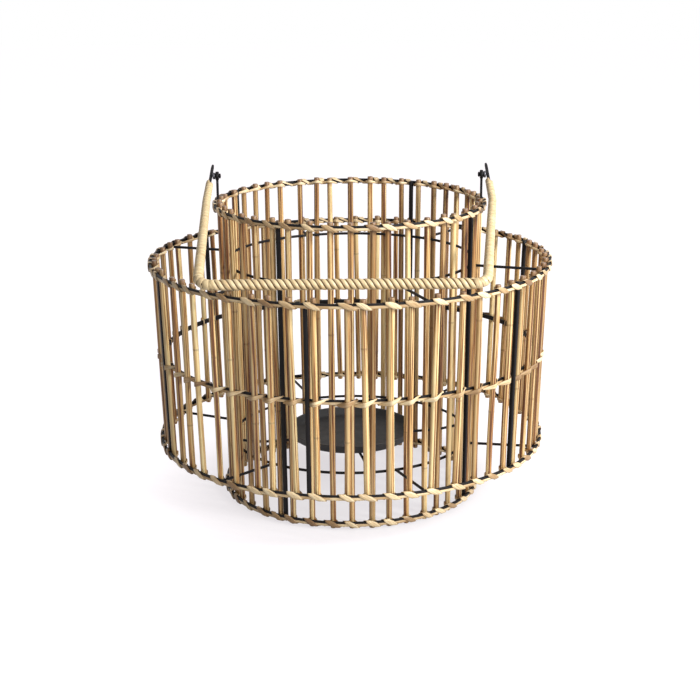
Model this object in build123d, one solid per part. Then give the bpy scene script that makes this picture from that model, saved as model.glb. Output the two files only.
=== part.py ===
from build123d import *
import math
import os

os.makedirs("parts", exist_ok=True)

# A cane candle lantern: two drums of upright canes lashed to iron hoops, one inside
# the other, with a candle pan on wires and a bound handle that swings over the top.
# Millimetres, +Z up, the axis of both drums on Z, the cane ends standing on z = 0.
# Hoop radii are to the middle of the iron strip. A drum's taper is how much less the
# lowest hoop's radius is than the top hoop's. The handle lies forward, towards -Y.

# Inner drum
inner_top_height = 282.0
inner_bottom_height = 5.6
inner_top_radius = 127.2
inner_taper = 3.8
inner_stave_count = 42
inner_stave_rise = 5.5
inner_upright_count = 4
inner_upright_angle = 63.0

# Outer drum
outer_top_height = 228.5
outer_middle_height = 141.0
outer_bottom_height = 56.0
outer_top_radius = 190.0
outer_taper = 5.0
outer_stave_count = 56
outer_stave_rise = 6.0
outer_stave_drop = 5.0
outer_stave_angle = 268.1
outer_upright_count = 6
outer_upright_angle = 21.0

# Iron and cane stock
hoop_height = 4.4
hoop_thickness = 2.5
upright_width = 5.6
upright_thickness = 5.8
wire_diameter = 2.6
cane_diameter = 6.0
peel_width = 5.8
middle_peel_width = 4.6
peel_thickness = 0.9

# Slant of the lashing, seen from outside: minus falls to the right. The flank is how
# far the middle lashing leans where it comes down beside a cane.
top_slant = -38.0
middle_slant = 24.0
bottom_slant = -40.0
peel_flank = 40.0

# Wires that join the drums and carry the pan
spoke_count = 6
spoke_angle = 51.0
lower_ring_drop = 3.5
pan_wire_angle = 11.0
pan_radius = 61.0
pan_depth = 9.0
pan_flare = 3.5
pan_sheet = 1.2
pan_drop = 2.6

# Handle and its pivots
pivot_rise = 26.0
post_diameter = 2.4
post_foot = 9.0
eye_width = 3.0
eye_wall = 2.4
pin_diameter = 2.6
pin_head_diameter = 4.8
pin_head_length = 1.5
bush_diameter = 6.4
bush_length = 2.2
bail_diameter = 3.0
tail_length = 18.5
handle_reach = 157.8
handle_shift = -6.0
handle_half_width = 123.5
handle_corner = 12.0
arm_bow = 1.1
knee = 43.4
wrap_start = 13.0
grip_diameter = 10.0
grip_strip = 1.1
grip_turns = 22
facets_per_turn = 14

# Clearances
seat_gap = 0.2
swing_gap = 0.45
turn_gap = 0.7

cane_radius = cane_diameter / 2
wire_radius = wire_diameter / 2
bail_radius = bail_diameter / 2
cane_inset = hoop_thickness / 2 + seat_gap + cane_radius
lashing_rise = hoop_height / 2 + seat_gap + peel_thickness


def save(name, solids):
    # One node: a single solid, or a group of separate ones.
    shape = solids[0] if len(solids) == 1 else Compound(children=list(solids))
    export_step(shape, "parts/" + name + ".step")


def around(solid, angles):
    # Copies of a solid drawn at azimuth 0, turned to each azimuth.
    return [(Rot(0, 0, angle) * solid).solid() for angle in angles]


def evenly(count, first):
    return [first + 360.0 * k / count for k in range(count)]


def inner_radius(z):
    lean = inner_taper / (inner_top_height - inner_bottom_height)
    return inner_top_radius - lean * (inner_top_height - z)


def outer_radius(z):
    lean = outer_taper / (outer_top_height - outer_bottom_height)
    return outer_top_radius - lean * (outer_top_height - z)


def nearest(wanted, angles):
    # The one of some azimuths that lies closest to the one wanted.
    return min(angles, key=lambda angle: apart(angle, wanted))


def apart(one, other):
    return abs((one - other + 180.0) % 360.0 - 180.0)


def hoop(radius, z, flats, angle):
    # Flat iron strip bent into a ring, with one short flat to each cane.
    turn = angle + 180.0 / flats
    outside = RegularPolygon(radius + hoop_thickness / 2, flats, major_radius=False, rotation=turn)
    inside = RegularPolygon(radius - hoop_thickness / 2, flats, major_radius=False, rotation=turn)
    return extrude(Pos(0, 0, z - hoop_height / 2) * (outside - inside), hoop_height).solid()


def leaning_bar(section, radius_at, offset, z_low, z_high):
    # A bar that follows the drum's lean, with level ends.
    foot = Pos(radius_at(z_low) + offset, 0, z_low) * section
    rise = (radius_at(z_high) - radius_at(z_low), 0, z_high - z_low)
    return Solid.extrude(foot.face(), rise)


def rod(start, end, diameter):
    # Straight wire with six flats between two points.
    along = Vector(*end) - Vector(*start)
    section = Plane(origin=start, z_dir=along) * RegularPolygon(diameter / 2, 6)
    return Solid.extrude(section.face(), along)


def bent_rod(points, bend, section):
    # A section carried along a polyline with rounded corners.
    path = FilletPolyline(*points, radius=bend)
    start = Plane(origin=path @ 0, x_dir=(path % 0).cross(bend_normal(points)), z_dir=path % 0)
    return sweep(start * section, path).solid()


def bend_normal(points):
    first = Vector(*points[1]) - Vector(*points[0])
    for point in points[2:]:
        normal = first.cross(Vector(*point) - Vector(*points[0]))
        if normal.length > 1e-6:
            return normal.normalized()


def hoop_lashing(radius, z, slant):
    # One flat strip of peel wound on the slant across a hoop's outer face, where a cane
    # stands behind it. Both ends turn in level over the hoop's edges. The outline is
    # drawn on the slant and carried along the hoop by the strip's level width.
    tilt = math.radians(slant)
    run = (hoop_height / 2 + seat_gap) / math.sin(abs(tilt))
    end = lashing_rise / math.sin(abs(tilt))
    level_width = peel_width / math.sin(abs(tilt))
    face = hoop_thickness / 2 + seat_gap
    back = -hoop_thickness / 2
    outline = [
        (end, back), (end, face + peel_thickness), (-end, face + peel_thickness), (-end, back),
        (-run, back), (-run, face), (run, face), (run, back),
    ]
    along = Vector(0, math.cos(tilt), math.sin(tilt))
    across = Vector(0, -math.sin(tilt), math.cos(tilt))
    start = (radius, math.copysign(level_width / 2, tilt), z)
    plane = Plane(origin=start, x_dir=along, z_dir=-across)
    side = (0, -math.copysign(level_width, tilt), 0)
    return Solid.extrude((plane * Polygon(*outline, align=None)).face(), side)


def cane_lashing(radius_at, z, slant):
    # One flat strip of peel over a cane that stands outside its hoop: up from the
    # hoop's face, across the cane on the slant, and down again. Its two feet taper to
    # an edge. The outline is drawn on the slant and carried along the cane.
    reach = cane_radius + seat_gap / 2
    flank = math.radians(peel_flank)
    tilt = math.radians(slant)
    half_turn = math.tan((math.pi / 2 - flank) / 2)
    top = reach * half_turn
    foot = reach * (1 + math.sin(flank)) / math.cos(flank)
    half = [(foot, -reach), (top + peel_thickness * half_turn, reach + peel_thickness)]
    right = [(t / math.cos(tilt), x) for t, x in half]
    left = [(-t, x) for t, x in reversed(right)]
    inside = [(-top / math.cos(tilt), reach), (top / math.cos(tilt), reach)]
    height = middle_peel_width / math.cos(tilt)
    low = z - height / 2
    run = (0, math.cos(tilt), math.sin(tilt))
    face_out = (0, math.sin(tilt), -math.cos(tilt))
    plane = Plane(origin=(radius_at(low) - cane_inset, 0, low), x_dir=run, z_dir=face_out)
    outline = plane * Polygon(*right, *left, *inside, align=None)
    return Solid.extrude(outline.face(), (radius_at(z + height / 2) - radius_at(low), 0, height))


# Canes, and the gaps midway between them. Spokes, uprights and posts stand in gaps.
inner_pitch = 360.0 / inner_stave_count
outer_pitch = 360.0 / outer_stave_count
inner_gaps = evenly(inner_stave_count, spoke_angle)
inner_angles = evenly(inner_stave_count, spoke_angle + inner_pitch / 2)
outer_angles = evenly(outer_stave_count, outer_stave_angle)
outer_gaps = evenly(outer_stave_count, outer_stave_angle + outer_pitch / 2)

# A spoke takes the nearest inner gap that also carries it clear of the outer canes.
spoke_room = cane_radius + wire_radius + seat_gap
spoke_room = math.degrees(spoke_room / (outer_radius(outer_bottom_height) - cane_inset))
open_gaps = [gap for gap in inner_gaps if min(apart(gap, cane) for cane in outer_angles) > spoke_room]
spoke_angles = [nearest(wanted, open_gaps) for wanted in evenly(spoke_count, spoke_angle)]

# Hoops. The canes stand inside them, but outside the middle one.
middle_radius = outer_radius(outer_middle_height) - 2 * cane_inset
for name, z in [("inner_top_hoop", inner_top_height), ("inner_bottom_hoop", inner_bottom_height)]:
    save(name, [hoop(inner_radius(z), z, inner_stave_count, inner_angles[0])])
for name, z, radius in [
    ("outer_top_hoop", outer_top_height, outer_top_radius),
    ("outer_middle_hoop", outer_middle_height, middle_radius),
    ("outer_bottom_hoop", outer_bottom_height, outer_radius(outer_bottom_height)),
]:
    save(name, [hoop(radius, z, outer_stave_count, outer_angles[0])])

# Canes
cane = RegularPolygon(cane_radius, 8)
inner_tip = inner_top_height + inner_stave_rise
outer_tip = outer_top_height + outer_stave_rise
inner_cane = leaning_bar(cane, inner_radius, -cane_inset, 0, inner_tip)
outer_cane_low = outer_bottom_height - outer_stave_drop
outer_cane = leaning_bar(cane, outer_radius, -cane_inset, outer_cane_low, outer_tip)
save("inner_staves", around(inner_cane, inner_angles))
save("outer_staves", around(outer_cane, outer_angles))

# Lashing where each cane crosses a hoop
for name, z, slant in [
    ("inner_top_lashing", inner_top_height, top_slant),
    ("inner_bottom_lashing", inner_bottom_height, bottom_slant),
]:
    save(name, around(hoop_lashing(inner_radius(z), z, slant), inner_angles))
for name, z, slant in [
    ("outer_top_lashing", outer_top_height, top_slant),
    ("outer_bottom_lashing", outer_bottom_height, bottom_slant),
]:
    save(name, around(hoop_lashing(outer_radius(z), z, slant), outer_angles))
middle_lashing = cane_lashing(outer_radius, outer_middle_height, middle_slant)
save("outer_middle_lashing", around(middle_lashing, outer_angles))

# Uprights between the canes, in the gaps nearest to where they are wanted
flat_bar = Rectangle(upright_thickness, upright_width)
upright_offset = -(hoop_thickness / 2 + seat_gap + upright_thickness / 2)
inner_upright = leaning_bar(
    flat_bar, inner_radius, upright_offset,
    inner_bottom_height - hoop_height / 2, inner_top_height + hoop_height / 2,
)
outer_upright = leaning_bar(
    flat_bar, outer_radius, upright_offset,
    outer_bottom_height - hoop_height / 2, outer_top_height + hoop_height / 2,
)
inner_upright_angles = [
    nearest(wanted, inner_gaps) for wanted in evenly(inner_upright_count, inner_upright_angle)
]
outer_upright_angles = [
    nearest(wanted, outer_gaps) for wanted in evenly(outer_upright_count, outer_upright_angle)
]
save("inner_uprights", around(inner_upright, inner_upright_angles))
save("outer_uprights", around(outer_upright, outer_upright_angles))

# Wire rings inside the inner canes and uprights, and the spokes from them to the outer hoops
ring_inset = hoop_thickness / 2 + max(cane_diameter, upright_thickness) + 2 * seat_gap + wire_radius
lower_ring_height = outer_bottom_height - lower_ring_drop
rings = [
    ("upper", outer_top_height, outer_top_height),
    ("lower", lower_ring_height, outer_bottom_height),
]
for level, ring_height, hoop_level in rings:
    ring_radius = inner_radius(ring_height) - ring_inset
    outside = RegularPolygon(ring_radius + wire_radius, inner_stave_count)
    inside = RegularPolygon(ring_radius - wire_radius, inner_stave_count)
    ring = Pos(0, 0, ring_height - wire_radius) * (outside - inside)
    save(level + "_wire_ring", [extrude(ring, wire_diameter).solid()])
    inner_end = (ring_radius + wire_radius + seat_gap, 0, ring_height)
    outer_end = (outer_radius(hoop_level) - hoop_thickness / 2 - seat_gap, 0, hoop_level)
    save(level + "_spokes", around(rod(inner_end, outer_end, wire_diameter), spoke_angles))

# Candle pan: turned sheet with a flared wall
pan_floor = lower_ring_height - pan_drop
pan_foot = pan_radius - pan_flare
pan_profile = [
    (0, pan_floor),
    (pan_foot, pan_floor),
    (pan_radius, pan_floor + pan_depth),
    (pan_radius - pan_sheet, pan_floor + pan_depth),
    (pan_foot - pan_sheet, pan_floor + pan_sheet),
    (0, pan_floor + pan_sheet),
]
save("candle_pan", [revolve(Plane.XZ * Polygon(*pan_profile, align=None), Axis.Z).solid()])

# Two bent wires that cross under the pan, the second below the first
ring_inside = inner_radius(lower_ring_height) - ring_inset - wire_radius
ring_end = ring_inside * math.cos(math.pi / inner_stave_count) - seat_gap
wire_flat = pan_floor - seat_gap - wire_radius
wire_bend = (pan_radius + ring_end) / 2
for name, turn, drop in [("pan_wire_long", 0, 0), ("pan_wire_cross", 90, wire_diameter + seat_gap)]:
    dip = wire_flat - drop
    line = [
        (-ring_end, 0, lower_ring_height),
        (-wire_bend, 0, dip),
        (wire_bend, 0, dip),
        (ring_end, 0, lower_ring_height),
    ]
    wire = bent_rod(line, 4 * wire_diameter, RegularPolygon(wire_radius, 6))
    save(name, around(wire, [pan_wire_angle + turn]))

# Eye posts on the inside of the top hoop, at both ends of the pivot line
pivot_height = inner_top_height + pivot_rise
eye_bore = pin_diameter / 2 + swing_gap
eye_outer = eye_bore + eye_wall
post_x = inner_top_radius - hoop_thickness / 2 - seat_gap - post_diameter / 2
post_low = (post_x, 0, inner_top_height - post_foot)
post_high = (post_x, 0, pivot_height - eye_bore - eye_wall / 2)
post_bar = rod(post_low, post_high, post_diameter)
eye_plane = Plane(origin=(post_x, 0, pivot_height), z_dir=(1, 0, 0))
eye_ring = RegularPolygon(eye_outer, 12) - RegularPolygon(eye_bore, 12, major_radius=False)
eye = extrude(eye_plane * eye_ring, eye_width / 2, both=True)
eye_post = (eye + post_bar).solid()
save("right_eye_post", [eye_post])
save("left_eye_post", around(eye_post, [180]))

# Pivot pins: a head inside the eye, a bush outside it, the handle's wire beyond
head_end = post_x - eye_width / 2 - swing_gap
bush_start = post_x + eye_width / 2 + swing_gap
bail_x = bush_start + bush_length + seat_gap + bail_radius
head_start = Plane(origin=(head_end - pin_head_length, 0, pivot_height), z_dir=(1, 0, 0))
pin_length = bail_x - bail_radius - seat_gap - head_end + pin_head_length
pin_head = extrude(head_start * RegularPolygon(pin_head_diameter / 2, 10), pin_head_length)
pin = (pin_head + extrude(head_start * RegularPolygon(pin_diameter / 2, 10), pin_length)).solid()
bush_plane = Plane(origin=(bush_start, 0, pivot_height), z_dir=(1, 0, 0))
bush_bore = RegularPolygon(pin_diameter / 2 + seat_gap, 10, major_radius=False)
bush_ring = RegularPolygon(bush_diameter / 2, 12) - bush_bore
bush = extrude(bush_plane * bush_ring, bush_length).solid()
save("right_pivot_pin", [pin])
save("left_pivot_pin", around(pin, [180]))
save("right_bush", [bush])
save("left_bush", around(bush, [180]))

# The handle lies on the outer drum's rim. A point of it is given by its side
# position and by its distance from the pivot line, measured down the arm.
wrap_radius = grip_diameter / 2 - grip_strip - seat_gap
left_corner = handle_shift - handle_half_width
right_corner = handle_shift + handle_half_width
grip_left = left_corner + handle_corner * 1.1
grip_right = right_corner - handle_corner * 1.1
core_left = grip_left + seat_gap
core_length = grip_right - seat_gap - core_left
pitch = core_length / (grip_turns + 1)
strip_radius = grip_diameter / 2 - grip_strip / 2
strip_lead = math.atan2(pitch, 2 * math.pi * strip_radius)
strip_width = pitch - turn_gap / math.cos(strip_lead)
rest_height = max(outer_tip, outer_top_height + lashing_rise)
grip_height = rest_height + swing_gap + grip_diameter / 2
handle_drop = math.atan2(pivot_height - grip_height, handle_reach)
arm_length = math.hypot(handle_reach, pivot_height - grip_height)


def on_handle(side, down):
    return (side, -down * math.cos(handle_drop), pivot_height - down * math.sin(handle_drop))


def knee_side():
    # The arms bow out at their knees, by their own bow or by what carries them past
    # the inner drum's rim and its lashing.
    strap = inner_top_radius + hoop_thickness / 2 + seat_gap + peel_thickness
    tilt = math.radians(abs(top_slant))
    rim = math.hypot(strap, peel_width / math.sin(tilt) / 2 + lashing_rise / math.tan(tilt))
    rim_top = max(inner_tip, inner_top_height + lashing_rise)
    room = wrap_radius + swing_gap
    side = bail_x + arm_bow
    for step in range(int(rim)):
        over = (pivot_height - rim_top) * math.cos(handle_drop) - step * math.sin(handle_drop)
        if over < room:
            aside = math.sqrt(room**2 - max(over, 0) ** 2)
            side = max(side, math.sqrt(rim**2 - step**2) + aside)
    return side


knee_x = knee_side()
lean_in = (knee_x - bail_x) / knee
tail_x = bail_x - lean_in * tail_length
wrap_x = bail_x + lean_in * wrap_start

# Bail wire, from one loose tail round to the other
bail_line = [
    on_handle(-tail_x, -tail_length),
    on_handle(-knee_x, knee),
    on_handle(left_corner, arm_length),
    on_handle(right_corner, arm_length),
    on_handle(knee_x, knee),
    on_handle(tail_x, -tail_length),
]
save("bail_wire", [bent_rod(bail_line, handle_corner, RegularPolygon(bail_radius, 6))])

# Close binding on the two arms, round each corner to the start of the grip
sleeve = RegularPolygon(wrap_radius, 10) - RegularPolygon(bail_radius + seat_gap, 6)
for name, side, corner, end in [
    ("left_arm_wrap", -1, left_corner, grip_left),
    ("right_arm_wrap", 1, right_corner, grip_right),
]:
    arm_line = [
        on_handle(side * wrap_x, wrap_start),
        on_handle(side * knee_x, knee),
        on_handle(corner, arm_length),
        on_handle(end, arm_length),
    ]
    save(name, [bent_rod(arm_line, handle_corner, sleeve)])

# Grip: a sleeve on the wire, and one long strip of peel wound round it
grip_y, grip_z = on_handle(0, arm_length)[1:]
core_plane = Plane(origin=(core_left, grip_y, grip_z), z_dir=(1, 0, 0))
core_section = core_plane * (Circle(wrap_radius) - Circle(bail_radius + seat_gap))
save("grip_core", [extrude(core_section, core_length).solid()])


def strip_corners(turn):
    # The strip's section after so many turns: two corners on the sleeve, two outside.
    angle = 2 * math.pi * turn
    face = Vector(0, math.cos(angle), math.sin(angle))
    point = Vector(core_left + pitch * (turn + 0.5), grip_y, grip_z) + face * strip_radius
    out = face * (grip_strip / 2)
    across = Vector(strip_width / 2, 0, 0)
    return [point - out - across, point + out - across, point + out + across, point - out + across]


# The strip is laid in short flats. Its edges twist, so each is split in two.
rows = [strip_corners(k / facets_per_turn) for k in range(grip_turns * facets_per_turn + 1)]
flats = [Face(Wire.make_polygon(rows[0])), Face(Wire.make_polygon(rows[-1]))]
for near, far in zip(rows, rows[1:]):
    for k in (1, 3):
        after = (k + 1) % 4
        flats.append(Face(Wire.make_polygon([near[k], near[after], far[after], far[k]])))
    for k in (0, 2):
        flats.append(Face(Wire.make_polygon([near[k], near[k + 1], far[k + 1]])))
        flats.append(Face(Wire.make_polygon([near[k], far[k + 1], far[k]])))
save("grip_winding", [Solid(Shell(flats))])

# Least gap of the strip to itself, on points of its two edges over two turns
fore = [strip_corners(k / 96)[2] for k in range(192)]
aft = [strip_corners(k / 96)[1] for k in range(192)]
least = min((a - b).length for a in fore for b in aft)
print("grip winding, least gap to itself:", round(least, 2), "mm")
print("handle swings", round(180 + 2 * math.degrees(handle_drop), 2), "degrees")
print("knee", round(knee_x, 2), round(knee, 2), "bail", round(bail_x, 2), "grip", round(grip_z, 2))
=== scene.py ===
import math
import random

import bpy
from mathutils import Matrix, Vector


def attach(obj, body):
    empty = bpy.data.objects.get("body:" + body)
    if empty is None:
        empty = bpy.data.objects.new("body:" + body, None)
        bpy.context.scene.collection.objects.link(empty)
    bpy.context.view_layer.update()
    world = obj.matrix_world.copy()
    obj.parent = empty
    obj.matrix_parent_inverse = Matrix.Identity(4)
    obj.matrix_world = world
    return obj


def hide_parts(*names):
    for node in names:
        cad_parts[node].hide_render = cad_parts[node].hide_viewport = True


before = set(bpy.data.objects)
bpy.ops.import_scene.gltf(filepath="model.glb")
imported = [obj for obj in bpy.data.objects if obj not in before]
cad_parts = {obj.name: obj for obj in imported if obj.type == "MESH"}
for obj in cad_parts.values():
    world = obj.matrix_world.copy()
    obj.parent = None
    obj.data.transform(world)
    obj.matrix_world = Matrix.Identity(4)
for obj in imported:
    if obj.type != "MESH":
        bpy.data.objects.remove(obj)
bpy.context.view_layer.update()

# Iron hoops. Flat black strip rolled into five rings with softened edges: two narrow ones for
# the inner drum and three wide ones for the outer drum. Both drums widen a little towards the
# top. The canes stand inside the hoops, but outside the middle one.
INNER_TOP, INNER_FOOT = 0.2820, 0.0056
OUTER_TOP, OUTER_MIDDLE, OUTER_FOOT = 0.2285, 0.1410, 0.0560
INNER_RADIUS, INNER_TAPER = 0.1272, 0.0038
OUTER_RADIUS, OUTER_TAPER = 0.1900, 0.0050
STRIP_TALL, STRIP_THICK, STRIP_SOFT = 0.0044, 0.0025, 0.0006
SEAT, CANE_FULL = 0.0002, 0.0030
CANE_INSET = STRIP_THICK / 2 + SEAT + CANE_FULL
HOOP_STEPS = 160


def inner_radius(z):
    return INNER_RADIUS - INNER_TAPER * (INNER_TOP - z) / (INNER_TOP - INNER_FOOT)


def outer_radius(z):
    return OUTER_RADIUS - OUTER_TAPER * (OUTER_TOP - z) / (OUTER_TOP - OUTER_FOOT)


def middle_radius(z):
    return outer_radius(z) - 2 * CANE_INSET


def at(azimuth, radius, z):
    return Vector((radius * math.cos(azimuth), radius * math.sin(azimuth), z))


def join(tree, *pairs):
    for out, into in pairs:
        tree.links.new(out, into)


def new_finish(name):
    finish = bpy.data.materials.new(name)
    finish.use_nodes = True
    tree = finish.node_tree
    return finish, tree, tree.nodes["Principled BSDF"]


def ramp(tree, *stops):
    node = tree.nodes.new("ShaderNodeValToRGB")
    while len(node.color_ramp.elements) < len(stops):
        node.color_ramp.elements.new(0.5)
    for element, (place, colour) in zip(node.color_ramp.elements, stops):
        element.position = place
        element.color = (*colour, 1.0)
    return node


def noise(tree, vector, scale, detail=3.0, roughness=0.55):
    node = tree.nodes.new("ShaderNodeTexNoise")
    node.inputs["Scale"].default_value = scale
    node.inputs["Detail"].default_value = detail
    node.inputs["Roughness"].default_value = roughness
    join(tree, (vector, node.inputs["Vector"]))
    return node.outputs["Fac"]


def spread(tree, value, low, high, start=0.3, end=0.7):
    node = tree.nodes.new("ShaderNodeMapRange")
    for socket, number in zip(("From Min", "From Max", "To Min", "To Max"), (start, end, low, high)):
        node.inputs[socket].default_value = number
    join(tree, (value, node.inputs["Value"]))
    return node.outputs["Result"]


def tint(tree, mode, amount, under, over):
    node = tree.nodes.new("ShaderNodeMix")
    node.data_type = "RGBA"
    node.blend_type = mode
    for value, socket in ((amount, 0), (under, 6), (over, 7)):
        if isinstance(value, (float, tuple)):
            node.inputs[socket].default_value = value
        else:
            join(tree, (value, node.inputs[socket]))
    return node.outputs[2]


def dent(tree, shader, height, strength, depth):
    node = tree.nodes.new("ShaderNodeBump")
    node.inputs["Strength"].default_value = strength
    node.inputs["Distance"].default_value = depth
    join(tree, (height, node.inputs["Height"]), (node.outputs["Normal"], shader.inputs["Normal"]))


def coat(tree, shader, colour, gloss):
    join(tree, (colour, shader.inputs["Base Color"]), (gloss, shader.inputs["Roughness"]))


def place_piece(name, points, faces, finish, body, slot, nodes, marks=None):
    mesh = bpy.data.meshes.new(name)
    mesh.from_pydata([tuple(p) for p in points], [], faces)
    for mark, values in (marks or {}).items():
        wide = isinstance(values[0], tuple)
        layer = mesh.attributes.new(mark, "FLOAT_VECTOR" if wide else "FLOAT", "POINT")
        if wide:
            layer.data.foreach_set("vector", [c for value in values for c in value])
        else:
            layer.data.foreach_set("value", values)
    mesh.validate()
    mesh.shade_smooth()
    mesh.materials.append(finish)
    piece = bpy.data.objects.new(name, mesh)
    bpy.context.collection.objects.link(piece)
    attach(piece, body)
    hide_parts(*nodes)


iron_black, iron_tree, iron_shader = new_finish("iron_black")
iron_place = iron_tree.nodes.new("ShaderNodeTexCoord").outputs["Object"]
iron_cloud = noise(iron_tree, iron_place, 240.0, 4.0, 0.6)
iron_grit = noise(iron_tree, iron_place, 1500.0, 2.0, 0.6)
iron_rub = noise(iron_tree, iron_place, 55.0, 5.0, 0.7)
iron_dark = ramp(iron_tree, (0.30, (0.0020, 0.0017, 0.0022)), (0.72, (0.0068, 0.0056, 0.0066)))
join(iron_tree, (iron_cloud, iron_dark.inputs["Fac"]))
iron_brown = spread(iron_tree, iron_rub, 0.0, 0.55, 0.56, 0.74)
iron_colour = tint(iron_tree, "MIX", iron_brown, iron_dark.outputs["Color"], (0.020, 0.012, 0.009, 1.0))
iron_gloss = spread(iron_tree, iron_cloud, 0.42, 0.66)
iron_shader.inputs["Specular IOR Level"].default_value = 0.20
coat(iron_tree, iron_shader, iron_colour, iron_gloss)
dent(iron_tree, iron_shader, iron_grit, 0.35, 0.0002)


def soft_outline(thick, tall, soft, trim=0.0):
    # A bar's outline with rounded corners, drawn in by the trim.
    outline = []
    for turn, (side, up) in enumerate(((1, -1), (1, 1), (-1, 1), (-1, -1))):
        for k in range(3):
            bend = math.radians(turn * 90 - 90 + k * 45)
            outline.append((
                side * (thick / 2 - soft) + (soft - trim) * math.cos(bend),
                up * (tall / 2 - soft) + (soft - trim) * math.sin(bend),
            ))
    return outline


def band(base, rows, wide, ends="open", turned=False):
    # Faces between rows of points, where each row goes once round a bar, wire or strip. The
    # two ends are left open, capped, or joined to each other.
    faces = []
    for row in range(rows if ends == "joined" else rows - 1):
        here, there = base + row * wide, base + (row + 1) % rows * wide
        for i in range(wide):
            after = (i + 1) % wide
            face = (here + i, here + after, there + after, there + i)
            faces.append((face[0], face[3], face[2], face[1]) if turned else face)
    if ends == "capped":
        first, last = (tuple(base + row * wide + i for i in range(wide)) for row in (0, rows - 1))
        faces += [first, last[::-1]] if turned else [first[::-1], last]
    return faces


def place_iron(name, points, faces, node, body="lantern"):
    place_piece(name, points, faces, iron_black, body, "iron", [node])


def rolled_hoop(name, radius, z, node):
    section = soft_outline(STRIP_THICK, STRIP_TALL, STRIP_SOFT)
    points = [
        at(math.tau * k / HOOP_STEPS, radius + out, z + rise)
        for k in range(HOOP_STEPS) for out, rise in section
    ]
    place_iron(name, points, band(0, HOOP_STEPS, len(section), "joined", turned=True), node)


for hoop_name, hoop_radius, hoop_z in (
    ("inner_top_hoop", inner_radius, INNER_TOP),
    ("inner_bottom_hoop", inner_radius, INNER_FOOT),
    ("outer_top_hoop", outer_radius, OUTER_TOP),
    ("outer_middle_hoop", middle_radius, OUTER_MIDDLE),
    ("outer_bottom_hoop", outer_radius, OUTER_FOOT),
):
    rolled_hoop("rolled_" + hoop_name, hoop_radius(hoop_z), hoop_z, hoop_name)

# Iron uprights. Square bars welded to the inside of the hoops in gaps between the canes, four
# in the inner drum and six in the outer one. Their edges are rounded and a little uneven.
BAR_WIDE, BAR_THICK, BAR_SOFT = 0.0038, 0.0040, 0.0011
BAR_INSET = STRIP_THICK / 2 + SEAT + BAR_THICK / 2
BAR_STEPS, BAR_CUT, BAR_TRIM, BAR_WAVE = 24, 0.0003, 0.0004, 0.00007
INNER_BAR_FIRST, OUTER_BAR_FIRST = 63.0, 21.0
INNER_COUNT, OUTER_COUNT = 42, 56
FIRST_GAP, FIRST_OUTER_CANE = 51.0, 268.1
INNER_GAP, OUTER_GAP = math.radians(FIRST_GAP), math.radians(FIRST_OUTER_CANE + 180.0 / OUTER_COUNT)


def nearest_gap(wanted, first, count):
    # The gap between two canes that lies closest to an azimuth.
    step = math.tau / count
    return first + round((math.radians(wanted) - first) / step) * step


def square_bars(name, radius_at, z_low, z_high, turns, node):
    points, faces = [], []
    chance = random.Random(len(turns))
    levels = [z_low + (z_high - z_low) * step / BAR_STEPS for step in range(1, BAR_STEPS)]
    levels = [z_low, z_low + BAR_CUT] + levels + [z_high - BAR_CUT, z_high]
    for azimuth in turns:
        out, along = at(azimuth, 1, 0), at(azimuth + math.pi / 2, 1, 0)
        base = len(points)
        for z in levels:
            trim = BAR_TRIM if z in (z_low, z_high) else 0.0
            outline = soft_outline(BAR_THICK, BAR_WIDE, BAR_SOFT, trim)
            lean = out * (radius_at(z) - BAR_INSET) + Vector((0, 0, z))
            wave = chance.uniform(-BAR_WAVE, BAR_WAVE)
            points.extend(lean + out * deep + along * (side + wave) for deep, side in outline)
        faces += band(base, len(levels), len(outline), "capped")
    place_iron(name, points, faces, node)


inner_bar_turns = [nearest_gap(INNER_BAR_FIRST + 90.0 * k, INNER_GAP, INNER_COUNT) for k in range(4)]
outer_bar_turns = [nearest_gap(OUTER_BAR_FIRST + 60.0 * k, OUTER_GAP, OUTER_COUNT) for k in range(6)]
for drum, radius_at, foot, top, turns in (
    ("inner", inner_radius, INNER_FOOT, INNER_TOP, inner_bar_turns),
    ("outer", outer_radius, OUTER_FOOT, OUTER_TOP, outer_bar_turns),
):
    square_bars(
        drum + "_bars", radius_at, foot - STRIP_TALL / 2, top + STRIP_TALL / 2, turns, drum + "_uprights")

# Iron wires. Round wire makes two rings inside the inner canes, level with the outer drum's
# top and bottom hoops, and the spokes that run out from them to those hoops between the canes.
WIRE = 0.0013
RING_INSET = STRIP_THICK / 2 + 2 * CANE_FULL + 2 * SEAT + WIRE
RING_DROP, RING_STEPS = 0.0035, 144
LOW_RING = OUTER_FOOT - RING_DROP
SPOKE_GAPS = (0, 7, 13, 21, 28, 34)


def wire_run(line, radius, closed=False, sides=10):
    # A round wire carried along a line of points. The radius may change from point to point.
    count = len(line)
    points, side = [], None
    for k, point in enumerate(line):
        before = line[(k - 1) % count] if closed or k else line[0]
        after = line[(k + 1) % count] if closed or k < count - 1 else line[-1]
        along = (after - before).normalized()
        if side is None:
            side = along.orthogonal().normalized()
        side = (side - along * side.dot(along)).normalized()
        other = along.cross(side)
        size = radius(k) if callable(radius) else radius
        for i in range(sides):
            turn = math.tau * i / sides
            points.append(point + (side * math.cos(turn) + other * math.sin(turn)) * size)
    return points, band(0, count, sides, "joined" if closed else "capped")


def gather(parts):
    points, faces = [], []
    for part_points, part_faces in parts:
        base = len(points)
        points.extend(part_points)
        faces.extend(tuple(base + i for i in face) for face in part_faces)
    return points, faces


def cut_wire(start, end, radius):
    # Straight length of wire with its two cut ends slightly rounded.
    nose = (end - start).normalized() * radius * 0.35
    line = [start, start + nose]
    line += [start.lerp(end, k / 6) for k in range(1, 6)]
    line += [end - nose, end]
    return wire_run(line, lambda k: radius * (0.8 if k in (0, len(line) - 1) else 1.0))


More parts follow.
